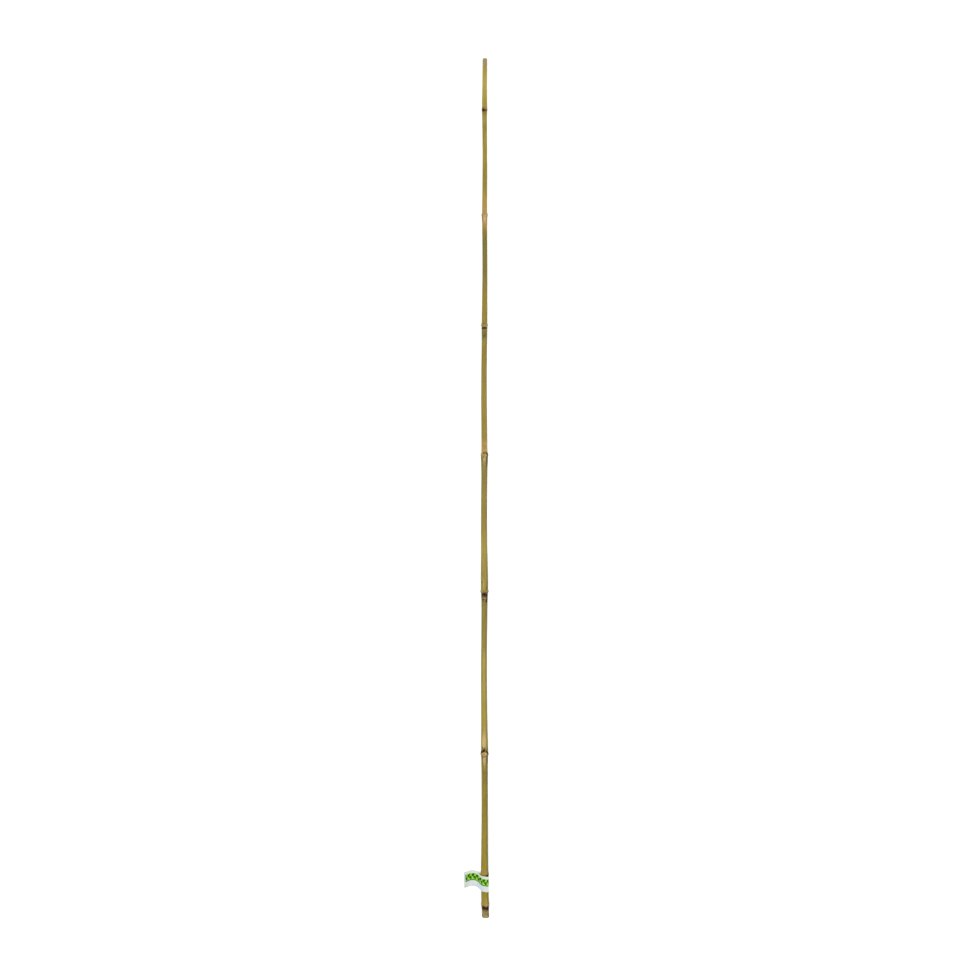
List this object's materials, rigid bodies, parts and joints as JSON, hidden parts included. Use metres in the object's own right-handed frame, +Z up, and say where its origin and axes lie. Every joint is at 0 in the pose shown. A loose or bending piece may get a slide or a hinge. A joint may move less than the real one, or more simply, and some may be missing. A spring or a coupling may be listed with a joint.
{
  "type": "bamboo cane",
  "caption": "Slim straight bamboo garden cane, trimmed at its swollen nodes and sawn at both ends, lying flat, with a paper flag label wrapped round the butt.",
  "frame": {"origin": "on the surface that the cane lies on, under the middle of the whole object's box", "axes": "+Y along the cane from the sawn butt to the tip, +Z up, +X to the right when the tip points away; the label's flag points to -X"},
  "size_m": [0.0358, 1.2002, 0.0126],
  "materials": {
    "culm_skin": "dried bamboo skin, golden olive, satin wax bloom, brown scars at the nodes",
    "label_paper": "coated white label paper with a lime-green band and a dark-green sprig"
  },
  "bodies": {
    "root": {"culm": "culm_skin", "flag_label": "label_paper"}
  },
  "joints": []
}
